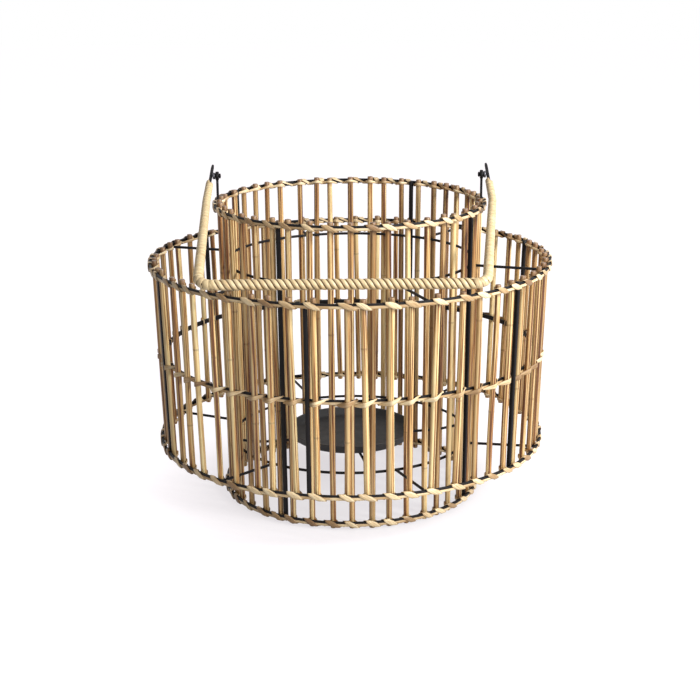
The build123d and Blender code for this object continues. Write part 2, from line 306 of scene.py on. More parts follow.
spoke_turns = [INNER_GAP + gap * math.tau / INNER_COUNT for gap in SPOKE_GAPS]
for level, ring_z, hoop_z in (("upper", OUTER_TOP, OUTER_TOP), ("lower", LOW_RING, OUTER_FOOT)):
    ring_radius = inner_radius(ring_z) - RING_INSET
    ring_line = [at(math.tau * k / RING_STEPS, ring_radius, ring_z) for k in range(RING_STEPS)]
    ring = wire_run(ring_line, WIRE, closed=True)
    place_iron(level + "_ring", *ring, level + "_wire_ring")
    spokes = [
        cut_wire(
            at(turn, ring_radius + WIRE * 0.8, ring_z),
            at(turn, outer_radius(hoop_z) - STRIP_THICK / 2 + SEAT, hoop_z), WIRE)
        for turn in spoke_turns
    ]
    place_iron(level + "_spoke_wires", *gather(spokes), level + "_spokes")

# Pan wires. Two lengths of the same wire, bent down under the candle pan, cross below it and
# hang from the lower ring, one lying under the other.
PAN_RADIUS, PAN_DROP = 0.0610, 0.0026
PAN_FLOOR = LOW_RING - PAN_DROP
PAN_TURN, WIRE_BEND, WIRE_STEP = 11.0, 0.0104, 0.006
ring_end = inner_radius(LOW_RING) - RING_INSET - WIRE * 0.4
wire_knee = (PAN_RADIUS + ring_end) / 2


def straight_run(start, end, step):
    # Points between two others, about one step apart.
    run = end - start
    count = max(1, round(run.length / step))
    return [end - run * (1 - k / count) for k in range(1, count)]


def rounded_line(corners, bend, step):
    # A line of straight runs with each corner rounded.
    line = [corners[0]]
    for before, corner, after in zip(corners, corners[1:], corners[2:]):
        back, ahead = (before - corner).normalized(), (after - corner).normalized()
        half = back.angle(ahead) / 2
        reach = bend / math.tan(half)
        middle = corner + (back + ahead).normalized() * bend / math.sin(half)
        start, end = corner + back * reach, corner + ahead * reach
        line += straight_run(line[-1], start, step)
        arms = (start - middle).normalized(), (end - middle).normalized()
        turns = max(3, round(bend * (math.pi - 2 * half) / step))
        line += [middle + arms[0].slerp(arms[1], k / turns) * bend for k in range(turns + 1)]
    return line + straight_run(line[-1], corners[-1], step) + [corners[-1]]


for wire_name, wire_turn, wire_z in (
    ("pan_wire_long", PAN_TURN, PAN_FLOOR - SEAT - WIRE),
    ("pan_wire_cross", PAN_TURN + 90.0, PAN_FLOOR - 2 * SEAT - 3 * WIRE),
):
    wire_azimuth = math.radians(wire_turn)
    bent = rounded_line([
        at(wire_azimuth, -ring_end, LOW_RING), at(wire_azimuth, -wire_knee, wire_z),
        at(wire_azimuth, wire_knee, wire_z), at(wire_azimuth, ring_end, LOW_RING),
    ], WIRE_BEND, WIRE_STEP)
    place_iron("bent_" + wire_name, *wire_run(bent, WIRE), wire_name)

# Candle pan. Thin sheet spun to a shallow dish with a flared wall and a turned rim, painted
# a flat charcoal that is rubbed paler along the rim and a little scuffed on the floor.
SHEET, PAN_DEPTH, PAN_FLARE, PAN_STEPS = 0.0012, 0.0090, 0.0035, 96
pan_low, pan_top = PAN_FLOOR, PAN_FLOOR + PAN_DEPTH
pan_foot, pan_inside = PAN_RADIUS - PAN_FLARE, PAN_RADIUS - PAN_FLARE - SHEET
pan_floor = pan_low + SHEET
pan_rows = [
    (0.020, pan_low), (0.040, pan_low), (pan_foot - 0.0030, pan_low),
    (pan_foot - 0.0012, pan_low + 0.0001), (pan_foot - 0.0002, pan_low + 0.0007),
    (pan_foot + 0.0004, pan_low + 0.0018), (pan_foot + 0.0014, pan_low + 0.0042),
    (PAN_RADIUS - 0.0008, pan_top - 0.0016), (PAN_RADIUS - 0.0001, pan_top - 0.0009),
    (PAN_RADIUS, pan_top - 0.0005), (PAN_RADIUS - 0.0003, pan_top - 0.0001),
    (PAN_RADIUS - 0.0007, pan_top), (PAN_RADIUS - 0.0011, pan_top - 0.0002),
    (PAN_RADIUS - 0.0014, pan_top - 0.0007), (PAN_RADIUS - SHEET - 0.0008, pan_top - 0.0018),
    (pan_inside + 0.0014, pan_low + 0.0044), (pan_inside + 0.0004, pan_floor + 0.0014),
    (pan_inside - 0.0003, pan_floor + 0.0006), (pan_inside - 0.0014, pan_floor + 0.0001),
    (pan_inside - 0.0032, pan_floor), (0.040, pan_floor), (0.020, pan_floor),
]
pan_points = [Vector((0, 0, pan_low))]
for radius, z in pan_rows:
    pan_points.extend(at(math.tau * k / PAN_STEPS, radius, z) for k in range(PAN_STEPS))
pan_points.append(Vector((0, 0, pan_floor)))
pan_faces = band(1, len(pan_rows), PAN_STEPS)
last_row = 1 + (len(pan_rows) - 1) * PAN_STEPS
for k in range(PAN_STEPS):
    after = (k + 1) % PAN_STEPS
    pan_faces.append((0, 1 + after, 1 + k))
    pan_faces.append((len(pan_points) - 1, last_row + k, last_row + after))

pan_charcoal, pan_tree, pan_shader = new_finish("pan_charcoal")
pan_place = pan_tree.nodes.new("ShaderNodeTexCoord").outputs["Object"]
pan_apart = pan_tree.nodes.new("ShaderNodeSeparateXYZ")
join(pan_tree, (pan_place, pan_apart.inputs[0]))
pan_cloud = noise(pan_tree, pan_place, 90.0, 5.0, 0.65)
pan_grit = noise(pan_tree, pan_place, 1300.0, 2.0)
pan_dark = ramp(pan_tree, (0.30, (0.0075, 0.0073, 0.0080)), (0.75, (0.0190, 0.0184, 0.0190)))
join(pan_tree, (pan_cloud, pan_dark.inputs["Fac"]))
pan_edge = spread(pan_tree, pan_apart.outputs["Z"], 0.0, 0.75, pan_top - 0.0010, pan_top - 0.0002)
pan_colour = tint(pan_tree, "MIX", pan_edge, pan_dark.outputs["Color"], (0.070, 0.067, 0.066, 1.0))
pan_rings = pan_tree.nodes.new("ShaderNodeTexWave")
pan_rings.wave_type = "RINGS"
pan_rings.rings_direction = "Z"
pan_rings.inputs["Scale"].default_value = 150.0
pan_rings.inputs["Distortion"].default_value = 1.5
join(pan_tree, (pan_place, pan_rings.inputs["Vector"]))
coat(pan_tree, pan_shader, pan_colour, spread(pan_tree, pan_cloud, 0.52, 0.72))
pan_height = tint(pan_tree, "MIX", 0.25, pan_grit, pan_rings.outputs["Fac"])
dent(pan_tree, pan_shader, pan_height, 0.25, 0.0002)
place_piece("spun_pan", pan_points, pan_faces, pan_charcoal, "lantern", "pan", ["candle_pan"])

# Canes. Thin round rattan, 42 canes in the inner drum and 56 in the outer one. No two are quite
# alike: each is a little oval and bowed, set by eye, streaked along its length, cut square and
# darker over the top, part stain and part painted shade, and some have a faint swollen joint.
CANE, CANE_LIMIT, CANE_SIDES, CANE_STEPS = 0.0029, 0.00297, 12, 22
CANE_TRIM, JOINT_SWELL, JOINT_STAIN = 0.0006, 0.0013, 0.0009
TOP_STAIN_AND_SHADE, STAIN_AND_SHADE_FADE = 0.0050, 0.0045
INNER_RISE, OUTER_RISE, OUTER_DROP = 0.0055, 0.0060, 0.0038
INNER_WANDER, OUTER_WANDER = 1.35, 1.10
INNER_BAR_ROOM, INNER_WIRE_ROOM = 0.0062 / 0.119, 0.0048 / 0.119
OUTER_BAR_ROOM, OUTER_WIRE_ROOM = 0.0064 / 0.180, 0.00445 / 0.1805


def kept_clear(turn, nominal, obstacles):
    # A cane's azimuth, moved off any bar or wire that it would touch.
    for place, room in obstacles:
        side = (nominal - place + math.pi) % math.tau - math.pi
        away = (turn - place + math.pi) % math.tau - math.pi
        if abs(side) < 0.2 and math.copysign(1, side) * away < room:
            turn += math.copysign(room, side) - away
    return turn


def cane_levels(low, high, joints):
    # Heights of a cane's rows of points: even steps, closer at both ends and at the joints.
    levels = {low, low + CANE_TRIM, high - TOP_STAIN_AND_SHADE - STAIN_AND_SHADE_FADE, high - TOP_STAIN_AND_SHADE, high - CANE_TRIM, high}
    levels |= {low + (high - low) * step / CANE_STEPS for step in range(1, CANE_STEPS)}
    for joint in joints:
        levels |= {joint + step for step in (-0.003, -0.0012, -0.0004, 0.0004, 0.0012, 0.003)}
    return sorted(levels)


def cane_drum(name, radius_at, z_low, z_high, count, first, wander, obstacles, seed, node):
    chance = random.Random(seed)
    points, faces, azimuths = [], [], []
    marks = {"grain": [], "tone": [], "joint": [], "cut": []}
    wander = math.radians(wander)
    for k in range(count):
        azimuth = math.radians(first) + math.tau * k / count
        foot_turn = azimuth + chance.uniform(-wander, wander)
        head_turn = foot_turn + chance.uniform(-wander, wander)
        head_turn = min(max(head_turn, azimuth - wander * 1.15), azimuth + wander * 1.15)
        foot_turn = kept_clear(foot_turn, azimuth, obstacles)
        head_turn = kept_clear(head_turn, azimuth, obstacles)
        bow, bow_turns = chance.uniform(-0.0006, 0.0006), chance.choice((1, 1, 2))
        oval, oval_turn = chance.uniform(0.0, 0.06), chance.uniform(0, math.pi)
        thick = CANE * chance.uniform(0.88, 1.0)
        low = z_low + chance.uniform(0.0, 0.0004)
        high = z_high - chance.uniform(0.0, 0.0018)
        tone = chance.random()
        shift = (chance.uniform(0, 9), chance.uniform(0, 9), chance.uniform(0, 9))
        joints = []
        place = low + chance.uniform(0.02, 0.34)
        while place < high - 0.012:
            joints.append(place)
            place += chance.uniform(0.16, 0.30)
        levels = cane_levels(low, high, joints)
        azimuths.append((foot_turn, head_turn, low, high))
        base = len(points)
        for z in levels:
            part = (z - low) / (high - low)
            turn = foot_turn + (head_turn - foot_turn) * part
            middle = at(turn, radius_at(z) - CANE_INSET, z)
            middle += at(turn + math.pi / 2, bow * math.sin(math.pi * bow_turns * part), 0)
            near = min((abs(z - joint) for joint in joints), default=1.0)
            swell = 1.0 + 0.04 * math.exp(-((near / JOINT_SWELL) ** 2)) + 0.02 * math.sin(40 * z + 7 * tone)
            trim = 0.88 if z in (low, high) else 1.0
            # Darker over the top few millimetres of each cane: part the cut end's stain, part painted shade.
            stain = 0.80 * max(0.0, 1 - max(0.0, high - z - TOP_STAIN_AND_SHADE) / STAIN_AND_SHADE_FADE)
            for i in range(CANE_SIDES):
                spin = math.tau * i / CANE_SIDES
                size = min(thick * swell, CANE_LIMIT) * trim * (1 - oval * math.sin(spin - oval_turn) ** 2)
                out, side = size * math.cos(spin), size * math.sin(spin)
                points.append(middle + at(turn, out, 0) + at(turn + math.pi / 2, side, 0))
                marks["grain"].append((shift[0] + out, shift[1] + side, shift[2] + z))
                marks["tone"].append(tone)
                marks["joint"].append(math.exp(-((near / JOINT_STAIN) ** 2)))
                marks["cut"].append(stain)
        faces.extend(band(base, len(levels), CANE_SIDES))
        for ring, up in ((base, False), (base + (len(levels) - 1) * CANE_SIDES, True)):
            cap = len(points)
            for i in range(CANE_SIDES):
                points.append(points[ring + i].copy())
                for mark in ("grain", "tone", "joint"):
                    marks[mark].append(marks[mark][ring + i])
                marks["cut"].append(1.0)
            order = range(CANE_SIDES) if up else reversed(range(CANE_SIDES))
            faces.append(tuple(cap + i for i in order))
    place_piece(name, points, faces, cane_gold, "lantern", "cane", [node], marks)
    return azimuths


cane_gold, cane_tree, cane_shader = new_finish("cane_gold")


def mark_of(tree, name, output):
    node = tree.nodes.new("ShaderNodeAttribute")
    node.attribute_name = name
    return node.outputs[output]


def stretched(tree, vector, scale):
    node = tree.nodes.new("ShaderNodeMapping")
    node.inputs["Scale"].default_value = scale
    join(tree, (vector, node.inputs["Vector"]))
    return node.outputs["Vector"]


cane_grain = mark_of(cane_tree, "grain", "Vector")
cane_streak, cane_fibre, cane_patch, cane_fleck = (
    noise(cane_tree, stretched(cane_tree, cane_grain, (1, 1, squeeze)), scale, detail, rough)
    for squeeze, scale, detail, rough in (
        (0.008, 640.0, 3.0, 0.6), (0.03, 2600.0, 2.0, 0.6), (0.20, 150.0, 4.0, 0.6), (0.35, 700.0, 3.0, 0.7)))
cane_wood = ramp(
    cane_tree, (0.420, (0.150, 0.055, 0.019)), (0.455, (0.500, 0.240, 0.080)),
    (0.50, (0.780, 0.500, 0.190)), (0.56, (0.970, 0.800, 0.430)))
join(cane_tree, (cane_streak, cane_wood.inputs["Fac"]))
cane_tone = ramp(cane_tree, (0.0, (0.50, 0.41, 0.35)), (0.5, (0.87, 0.82, 0.78)), (1.0, (1.0, 1.0, 1.0)))
join(cane_tree, (mark_of(cane_tree, "tone", "Fac"), cane_tone.inputs["Fac"]))
cane_colour = tint(cane_tree, "MULTIPLY", 1.0, cane_wood.outputs["Color"], cane_tone.outputs["Color"])
for amount, stain in (
    (spread(cane_tree, cane_patch, 0.0, 0.5, 0.56, 0.76), (0.270, 0.125, 0.045, 1.0)),
    (spread(cane_tree, cane_fleck, 0.0, 0.6, 0.68, 0.78), (0.110, 0.050, 0.022, 1.0)),
    (spread(cane_tree, mark_of(cane_tree, "joint", "Fac"), 0.0, 0.38, 0.15, 0.9), (0.140, 0.066, 0.030, 1.0)),
    # The darker top of each cane: part stain, part painted shade.
    (mark_of(cane_tree, "cut", "Fac"), (0.215, 0.112, 0.052, 1.0)),
):
    cane_colour = tint(cane_tree, "MIX", amount, cane_colour, stain)
coat(cane_tree, cane_shader, cane_colour, spread(cane_tree, cane_streak, 0.46, 0.30))
dent(cane_tree, cane_shader, tint(cane_tree, "MIX", 0.4, cane_streak, cane_fibre), 0.45, 0.0004)

# Azimuths that the canes keep clear of, with the room to leave at each.
post_turns = [0.0, math.pi]
inner_obstacles = [(turn, INNER_BAR_ROOM) for turn in inner_bar_turns]
inner_obstacles += [(turn, INNER_WIRE_ROOM) for turn in spoke_turns + post_turns]
outer_obstacles = [(turn, OUTER_BAR_ROOM) for turn in outer_bar_turns]
outer_obstacles += [(turn, OUTER_WIRE_ROOM) for turn in spoke_turns]
inner_canes = cane_drum(
    "inner_canes", inner_radius, 0.0, INNER_TOP + INNER_RISE, INNER_COUNT, FIRST_GAP + 180.0 / INNER_COUNT,
    INNER_WANDER, inner_obstacles, 11, "inner_staves")
outer_canes = cane_drum(
    "outer_canes", outer_radius, OUTER_FOOT - OUTER_DROP, OUTER_TOP + OUTER_RISE, OUTER_COUNT,
    FIRST_OUTER_CANE, OUTER_WANDER, outer_obstacles, 23, "outer_staves")

# Lashing. Pale rattan peel is wound over a thin dull liner with a turn to every cane: it slants
# down the hoop's face, goes under, climbs inside and comes over the top. Short strips hold the
# canes from inside. On the middle hoop the peel climbs across each cane's face instead.
PEEL_THICK, PEEL_CLEAR, CANE_CLEAR = 0.0006, 0.0001, 0.00022
LINER_WIDE, LINER_THICK, LINER_CLEAR, LINER_DROP = 0.0021, 0.0002, 0.00012, 0.0008
TURN_TALL, TURN_CLEAR, EDGE_CLEAR, BESIDE_CANE = 0.0030, 0.00036, 0.00024, 0.0062
LEG, LEG_LEAST, LEG_ROOM, LEG_DROP, LEG_TUCK = 0.0078, 0.0034, 0.0024, 0.0018, 0.0006


def canes_in_order(canes, z):
    # The canes' azimuths at a height, and after each one the azimuth of its neighbour.
    order = sorted(
        (foot_turn + (head_turn - foot_turn) * (z - low) / (high - low)) % math.tau
        for foot_turn, head_turn, low, high in canes)
    return order, zip(order, order[1:] + [order[0] + math.tau])


def over_cane(reach):
    # The strip's outside line past one cane: tangents to the hoop's face and a round over it.
    size = CANE + CANE_CLEAR + PEEL_THICK / 2
    face = STRIP_THICK / 2 + PEEL_THICK / 2 + PEEL_CLEAR
    rise = face - CANE_INSET
    slope = math.atan2(rise, reach) + math.acos(min(1.0, size / math.hypot(reach, rise)))
    touch = size * math.cos(slope), CANE_INSET + size * math.sin(slope)
    line = [(reach + (touch[0] - reach) * k / 4, face + (touch[1] - face) * k / 4, slope) for k in range(4)]
    for k in range(5):
        bend = slope + (math.pi / 2 - slope) * k / 4
        line.append((size * math.cos(bend), CANE_INSET + size * math.sin(bend), bend))
    mirrored = [(-s, q, math.pi - bend) for s, q, bend in line[:-1]]
    return mirrored + line[::-1]


def smooth_turns(knots, per_knot):
    # Points between the given ones on a smooth curve through them all.
    line = []
    for a, b, c, d in zip(knots, knots[1:], knots[2:], knots[3:]):
        for step in range(per_knot):
            t = step / per_knot
            line.append([
                0.5 * (
                    2 * q + (r - p) * t + (2 * p - 5 * q + 4 * r - s) * t * t
                    + (3 * q - p - 3 * r + s) * t ** 3)
                for p, q, r, s in zip(a, b, c, d)
            ])
    return line


def new_strips():
    return [], [], {"run": [], "edge": [], "tone": []}


def lay_strip(line, normals, widths, thick, crown, points, faces, marks, tones, start):
    # A flat strip with a slightly crowned outer face along a line of points.
    steps = (-0.5, -0.42, 0.0, 0.42, 0.5)
    around = [(step, 1) for step in steps] + [(step, -1) for step in reversed(steps)]
    base, travelled, count = len(points), start, len(line)
    for k, point in enumerate(line):
        along = (line[min(k + 1, count - 1)] - line[max(k - 1, 0)]).normalized()
        face = (normals[k] - along * normals[k].dot(along)).normalized()
        across = along.cross(face)
        if k:
            travelled += (point - line[k - 1]).length
        for step, side in around:
            worn = thick * 0.4 if abs(step) == 0.5 else 0.0
            lift = side * (thick / 2 - worn) + crown * (1 - (2 * step) ** 2)
            points.append(point + across * (step * widths[k]) + face * lift)
            marks["run"].append((travelled, step * widths[k], start))
            marks["edge"].append(abs(2 * step))
            marks["tone"].append(tones[k])
    faces.extend(band(base, count, len(around), "capped", turned=True))


peel_straw, peel_tree, peel_shader = new_finish("peel_straw")


def paint_peel(tree, shader, straw, stops, stain):
    run = mark_of(tree, "run", "Vector")
    fibre = noise(tree, stretched(tree, run, (0.05, 1, 1)), 2400.0, 2.0, 0.6)
    vein = noise(tree, stretched(tree, run, (0.10, 1, 1)), 800.0, 3.0, 0.6)
    patch = noise(tree, stretched(tree, run, (0.6, 0.6, 1)), 120.0, 4.0, 0.65)
    wood = ramp(tree, *stops)
    join(tree, (vein, wood.inputs["Fac"]))
    tone = ramp(
        tree, (0.0, (0.30, 0.21, 0.15)), (0.32, (0.68, 0.59, 0.50)), (0.56, (1.0, 1.0, 1.0)),
        (1.0, (1.04, 1.04, 1.04)))
    join(tree, (mark_of(tree, "tone", "Fac"), tone.inputs["Fac"]))
    colour = tint(tree, "MULTIPLY", 1.0, wood.outputs["Color"], tone.outputs["Color"])
    colour = tint(tree, "MIX", spread(tree, patch, 0.0, stain, 0.52, 0.76), colour, straw)
    # Each strip darkens towards its edges: partly the peel's own darker edges, partly painted shade where the
    # strips meet and tuck under.
    rim = spread(tree, mark_of(tree, "edge", "Fac"), 0.0, 0.75, 0.80, 1.0)
    colour = tint(tree, "MIX", rim, colour, (0.210, 0.110, 0.045, 1.0))
    coat(tree, shader, colour, spread(tree, patch, 0.36, 0.54))
    dent(tree, shader, tint(tree, "MIX", 0.5, fibre, vein), 0.35, 0.0003)


paint_peel(peel_tree, peel_shader, (0.360, 0.200, 0.080, 1.0), (
    (0.28, (0.500, 0.325, 0.150)), (0.44, (0.780, 0.590, 0.335)), (0.66, (0.930, 0.800, 0.545))), 0.55)


def lay_liner(radius, level, first, seed, points, faces, marks):
    # A thin strip laid along the lower half of the hoop's face, under the turns.
    chance = random.Random(seed + 1)
    runs, steps = 40, 10
    waves = [chance.random() for run in range(runs + 1)]
    turns = [first + math.tau * k / (runs * steps) for k in range(runs * steps + 1)]
    line = [at(turn, radius + STRIP_THICK / 2 + LINER_CLEAR, level - LINER_DROP) for turn in turns]
    normals = [at(turn, 1, 0) for turn in turns]
    widths = [LINER_WIDE + 0.0006 * waves[k // steps] for k in range(len(turns))]
    tones = [0.25 + 0.40 * waves[runs - k // steps] for k in range(len(turns))]
    lay_strip(line, normals, widths, LINER_THICK, 0.00002, points, faces, marks, tones, seed * 1.7)


def lash_ring(name, radius_at, level, canes, tall, wide, seed, node):
    # Where the hoop runs behind the canes, the strip climbs to the right over each cane.
    chance = random.Random(seed)
    order, pairs = canes_in_order(canes, level)
    radius = radius_at(level)
    circle = radius + CANE_INSET
    pitch = math.tau / len(order) * circle
    front, inside = STRIP_THICK / 2 + SEAT, -STRIP_THICK / 2 - PEEL_THICK / 2 - PEEL_CLEAR
    edge = max(tall, STRIP_TALL / 2 + PEEL_THICK / 2 + PEEL_CLEAR)
    knots = []
    for azimuth, after in pairs:
        reach = pitch * chance.uniform(0.42, 0.45)
        lift, tilt = chance.uniform(-0.0004, 0.0004), tall * chance.uniform(0.88, 1.08)
        tone = chance.random()
        width = wide * chance.uniform(0.90, 1.06)
        for s, q, bend in over_cane(reach):
            turn, up = azimuth + s / circle, lift + tilt * s / reach
            taper = width * (1 - 0.66 * (s / reach) ** 2)
            knots.append([turn, q, up, math.cos(bend), math.sin(bend), 0.0, taper, tone])
        rest = (after - azimuth) * circle - 2 * reach
        for part, q, up, n_out, n_up in (
            (0.16, front, edge + 0.0002, 0.6, 0.8),
            (0.26, 0.0, edge + 0.0003, 0.0, 1.0),
            (0.36, inside, edge - 0.0004, -0.8, 0.6),
            (0.50, inside, 0.0, -1.0, 0.0),
            (0.64, inside, 0.0004 - edge, -0.8, -0.6),
            (0.74, 0.0, -edge - 0.0003, 0.0, -1.0),
            (0.84, front, -edge - 0.0002, 0.6, -0.8),
        ):
            turn = azimuth + (reach + rest * part) / circle
            knots.append([turn, q, lift + up, 0.0, n_out, n_up, width * 0.4, tone])
    before, first, second = (
        [knot[0] + by] + knot[1:]
        for knot, by in ((knots[-1], -math.tau), (knots[0], math.tau), (knots[1], math.tau)))
    line, normals, widths, tones = [], [], [], []
    for turn, q, up, n_side, n_out, n_up, width, tone in smooth_turns([before, *knots, first, second], 2):
        line.append(at(turn, radius_at(level + up) + q, level + up))
        normals.append(at(turn + math.pi / 2, n_side, 0) + at(turn, n_out, n_up))
        widths.append(width)
        tones.append(tone)
    points, faces, marks = new_strips()
    lay_strip(line, normals, widths, PEEL_THICK, 0.00008, points, faces, marks, tones, seed * 3.1)
    lay_liner(radius, level, order[0], seed, points, faces, marks)
    place_piece(name, points, faces, peel_straw, "lantern", "peel", [node], marks)


def hold_canes(radius, level, order, crowded, seed, points, faces, marks):
    # Short strips that hold the canes: each arches over a cane's inner side, and both ends
    # tuck under the hoop, short of any bar or wire that stands beside the cane.
    chance = random.Random(seed + 2)
    under = STRIP_TALL / 2 + PEEL_THICK / 2 + SEAT
    for azimuth in order:
        near = min(abs((turn - azimuth + math.pi) % math.tau - math.pi) * radius for turn in crowded)
        leg = min(LEG * chance.uniform(0.9, 1.0), max(near - LEG_ROOM, LEG_LEAST))
        crest, tilt = chance.uniform(0.0003, 0.0012), chance.uniform(-0.0007, 0.0007)
        width, tone = chance.uniform(0.0027, 0.0034), chance.uniform(0.20, 1.0)
        tips = [(hand * (leg + LEG_TUCK), 0.0, None) for hand in (-1, 1)]
        line, normals, widths = [], [], []
        for s, out, bend in [tips[0], *over_cane(leg)[::2], tips[1]]:
            turn, part = azimuth + s / radius, min(1.0, abs(s) / leg)
            if bend is None:
                up, normal = -under, at(turn, 0, -1)
            else:
                up = crest - (crest + LEG_DROP) * part ** 1.6 + tilt * s / leg
                normal = at(turn + math.pi / 2, math.cos(bend), 0) - at(turn, math.sin(bend), 0)
            line.append(at(turn, radius - out, level + up))
            normals.append(normal)
            widths.append(width * (1 - 0.35 * part))
        lay_strip(
            line, normals, widths, PEEL_THICK, 0.00006, points, faces, marks, [tone] * len(line),
            chance.uniform(0, 9))


def wrap_hoop(name, radius, level, canes, slant, wide, crowded, seed, node):
    # The strip's rows lie level, so that it turns over the hoop's edges without a twist.
    chance = random.Random(seed)
    order, pairs = canes_in_order(canes, level)
    face, edge, tall = STRIP_THICK / 2 + TURN_CLEAR, STRIP_TALL / 2 + EDGE_CLEAR, TURN_TALL
    steps = (-0.5, -0.45, -0.15, 0.15, 0.45, 0.5)
    around = [(step, True) for step in steps] + [(step, False) for step in reversed(steps)]
    points, faces, marks = new_strips()
    gone, before = seed * 3.1, None
    for azimuth, after in pairs:
        gap = (after - azimuth) * radius
        tight = any((turn - azimuth) % math.tau < after - azimuth for turn in crowded)
        back, thin = STRIP_THICK / 2 + (0.00003 if tight else SEAT), 0.2 if tight else 0.8
        lean = tall / math.tan(math.radians(slant * chance.uniform(0.90, 1.12)))
        width, tone = wide * chance.uniform(0.86, 1.10), chance.random()
        shift, curl = chance.uniform(-0.0005, 0.0005), chance.uniform(-0.00012, 0.00016)
        low, high = BESIDE_CANE, gap - BESIDE_CANE
        for side, out, up, n_out, n_up, w, part in (
            (shift - lean, face - 0.0002, tall * 0.96, 0.93, 0.36, width * 0.66, 1.0),
            (shift - lean * 0.45, face, tall * 0.45, 1.0, 0.0, width * 0.96, 1.0),
            (shift + lean * 0.45, face, -tall * 0.45, 1.0, 0.0, width * 0.96, 1.0),
            (shift + lean, face - 0.0002, -tall * 0.96, 0.93, -0.36, width * 0.66, 1.0),
            (shift + lean * 1.12, face - 0.0008, -tall, 0.6, -0.8, width * 0.60, 0.9),
            ((shift + lean + low) / 2, 0.0, -(tall + edge) / 2, 0.0, -1.0, width * 0.58, 0.8),
            (low - 0.0002, 0.0002 - back, -edge, -0.4, -0.9, 0.0056, 0.6),
            (low, -back, -edge * 0.8, -1.0, 0.0, 0.0052, thin),
            ((low + high) / 2, -back, 0.0, -1.0, 0.0, 0.0050, thin),
            (high, -back, edge * 0.8, -1.0, 0.0, 0.0052, thin),
            (high + 0.0002, 0.0002 - back, edge, -0.4, 0.9, 0.0056, 0.6),
            ((high + gap + shift - lean) / 2, 0.0, (tall + edge) / 2, 0.0, 1.0, width * 0.58, 0.8),
            (gap + shift - lean * 1.12, face - 0.0008, tall, 0.6, 0.8, width * 0.60, 0.9),
        ):
            here = at(azimuth + side / radius, radius + out, level + up)
            gone += 0.0 if before is None else (here - before).length
            before = here
            for step, outside in around:
                thick = PEEL_THICK * part * (0.55 if abs(step) == 0.5 else 1.0) if outside else 0.0
                thick += curl * step * 2 if n_out > 0.9 and out > 0 else 0.0
                turn = azimuth + (side + step * w) / radius
                points.append(at(turn, radius + out + n_out * thick, level + up + n_up * thick))
                marks["run"].append((gone, step * w, seed))
                marks["edge"].append(abs(2 * step))
                marks["tone"].append(tone)
    faces.extend(band(0, len(points) // len(around), len(around), "joined"))
    lay_liner(radius, level, order[0], seed, points, faces, marks)
    hold_canes(radius, level, order, crowded, seed, points, faces, marks)
    place_piece(name, points, faces, peel_straw, "lantern", "peel", [node], marks)


inner_crowd = inner_bar_turns + post_turns
outer_crowd = outer_bar_turns + spoke_turns
for ring, radius_at, level, canes, slant, wide, crowd, seed in (
    ("inner_top", inner_radius, INNER_TOP, inner_canes, 36.0, 0.0092, inner_crowd, 31),
    ("inner_bottom", inner_radius, INNER_FOOT, inner_canes, 38.0, 0.0092, inner_crowd, 37),
    ("outer_top", outer_radius, OUTER_TOP, outer_canes, 36.0, 0.0104, outer_crowd, 41),
    ("outer_bottom", outer_radius, OUTER_FOOT, outer_canes, 36.0, 0.0106, outer_crowd, 47),
):
    wrap_hoop("lashed_" + ring, radius_at(level), level, canes, slant, wide, crowd, seed, ring + "_lashing")
lash_ring(
    "lashed_outer_middle", middle_radius, OUTER_MIDDLE, outer_canes, 0.0027, 0.0046, 43,
    "outer_middle_lashing")

# Eye posts. Thin wire welded inside the inner drum's top hoop on the left and right, standing
# up to a flattened round eye that takes the handle's pivot pin.
PIVOT_RISE, POST, POST_FOOT = 0.0260, 0.0012, 0.0090
PIVOT_Z = INNER_TOP + PIVOT_RISE
POST_X = INNER_RADIUS - STRIP_THICK / 2 - SEAT - POST
EYE_BORE, EYE_WALL, EYE_WIDE, EYE_SOFT = 0.00175, 0.0024, 0.0030, 0.0004


def turned_piece(section, turns, origin, axis):
    # A closed section of (along, radius) pairs spun round an axis.
    side = axis.orthogonal().normalized()
    other = axis.cross(side)
    points = []
    for k in range(turns):
        turn = math.tau * k / turns
        out = side * math.cos(turn) + other * math.sin(turn)
        points.extend(origin + axis * along + out * radius for along, radius in section)
    return points, band(0, turns, len(section), "joined")


half, bore, rim = EYE_WIDE / 2, EYE_BORE, EYE_BORE + EYE_WALL
eye_section = [
    (-half, bore + EYE_SOFT), (-half + EYE_SOFT, bore), (half - EYE_SOFT, bore), (half, bore + EYE_SOFT),
    (half, rim - EYE_SOFT), (half - EYE_SOFT, rim), (-half + EYE_SOFT, rim), (-half, rim - EYE_SOFT),
]
for name, hand in (("left", -1), ("right", 1)):
    eye = turned_piece(eye_section, 28, Vector((hand * POST_X, 0, PIVOT_Z)), Vector((hand, 0, 0)))
    post = cut_wire(
        Vector((hand * POST_X, 0, INNER_TOP - POST_FOOT)),
        Vector((hand * POST_X, 0, PIVOT_Z - EYE_BORE - EYE_WALL * 0.6)), POST)
    place_iron(name + "_eye", *gather([eye, post]), name + "_eye_post")

